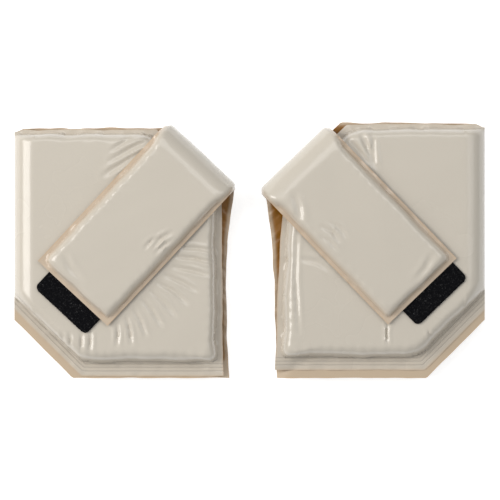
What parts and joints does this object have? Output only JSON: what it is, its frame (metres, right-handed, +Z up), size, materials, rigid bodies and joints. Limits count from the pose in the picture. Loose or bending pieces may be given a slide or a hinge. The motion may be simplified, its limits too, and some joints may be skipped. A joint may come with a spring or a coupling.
{
  "type": "knee pads",
  "caption": "Mirrored pair of folded, vinyl-covered foam pads with welded edges, an open pocket and a padded hook-and-loop strap.",
  "frame": {"origin": "middle of the pair's bounding box, on the surface the pads lie on", "axes": "+Z up, +X from the left pad to the right pad, +Y towards the pads' open tops"},
  "size_m": [0.518, 0.2774, 0.0603],
  "materials": {
    "vinyl_cover": "soft gloss, pearly grey-beige welded vinyl film",
    "vinyl_lining": "glossy golden-brown vinyl film",
    "foam": "open foam slab, sealed inside the films",
    "hook_tape": "black hook tape",
    "loop_tape": "black loop tape"
  },
  "bodies": {
    "left_pad": {"left_back_cover": "vinyl_cover", "left_back_foam": "foam", "left_back_lining": "vinyl_lining", "left_fold_cover": "vinyl_cover", "left_fold_foam": "foam", "left_fold_lining": "vinyl_lining", "left_front_cover": "vinyl_cover", "left_front_foam": "foam", "left_front_lining": "vinyl_lining", "left_loop_tape": "loop_tape"},
    "left_corner": {"left_flap_cover": "vinyl_cover", "left_flap_foam": "foam", "left_flap_lining": "vinyl_lining"},
    "left_strap_fold": {"left_strap_fold_cover": "vinyl_cover", "left_strap_fold_foam": "foam", "left_strap_fold_lining": "vinyl_lining"},
    "left_strap": {"left_strap_cover": "vinyl_cover", "left_strap_foam": "foam", "left_strap_lining": "vinyl_lining", "left_hook_tape": "hook_tape"},
    "right_pad": {"right_back_cover": "vinyl_cover", "right_back_foam": "foam", "right_back_lining": "vinyl_lining", "right_fold_cover": "vinyl_cover", "right_fold_foam": "foam", "right_fold_lining": "vinyl_lining", "right_front_cover": "vinyl_cover", "right_front_foam": "foam", "right_front_lining": "vinyl_lining", "right_loop_tape": "loop_tape"},
    "right_corner": {"right_flap_cover": "vinyl_cover", "right_flap_foam": "foam", "right_flap_lining": "vinyl_lining"},
    "right_strap_fold": {"right_strap_fold_cover": "vinyl_cover", "right_strap_fold_foam": "foam", "right_strap_fold_lining": "vinyl_lining"},
    "right_strap": {"right_strap_cover": "vinyl_cover", "right_strap_foam": "foam", "right_strap_lining": "vinyl_lining", "right_hook_tape": "hook_tape"}
  },
  "joints": [
    {"name": "left_strap_base", "type": "hinge", "parent": "left_pad", "child": "left_strap_fold", "pos_m": [-0.058, 0.09742, 0.0113], "axis": [-0.7314, 0.682, 0], "range_deg": [0, 90]},
    {"name": "left_strap_top", "type": "hinge", "parent": "left_strap_fold", "child": "left_strap", "pos_m": [-0.058, 0.09742, 0.0493], "axis": [-0.7314, 0.682, 0], "range_deg": [0, 90]},
    {"name": "left_corner_bend", "type": "hinge", "parent": "left_pad", "child": "left_corner", "pos_m": [-0.121, 0.01157, 0.046], "axis": [0.6247, -0.7809, 0], "range_deg": [0, 18]},
    {"name": "right_strap_base", "type": "hinge", "parent": "right_pad", "child": "right_strap_fold", "pos_m": [0.05464, 0.09366, 0.0113], "axis": [-0.7193, -0.6947, 0], "range_deg": [0, 90]},
    {"name": "right_strap_top", "type": "hinge", "parent": "right_strap_fold", "child": "right_strap", "pos_m": [0.05464, 0.09366, 0.0493], "axis": [-0.7193, -0.6947, 0], "range_deg": [0, 90]},
    {"name": "right_corner_bend", "type": "hinge", "parent": "right_pad", "child": "right_corner", "pos_m": [0.121, 0.01157, 0.046], "axis": [0.6247, 0.7809, 0], "range_deg": [0, 18]},
    {"name": "right_pad_slide", "type": "slide", "parent": "left_pad", "child": "right_pad", "axis": [1, 0, 0], "range_m": [0, 0.34]}
  ],
  "couplings": [
    {"joint": "left_strap_top", "follows": "left_strap_base", "ratio": 1},
    {"joint": "left_corner_bend", "follows": "left_strap_base", "ratio": 0.2},
    {"joint": "right_strap_top", "follows": "right_strap_base", "ratio": 1},
    {"joint": "right_corner_bend", "follows": "right_strap_base", "ratio": 0.2},
    {"joint": "right_pad_slide", "follows": "left_strap_base", "m_per_rad": 0.216}
  ]
}
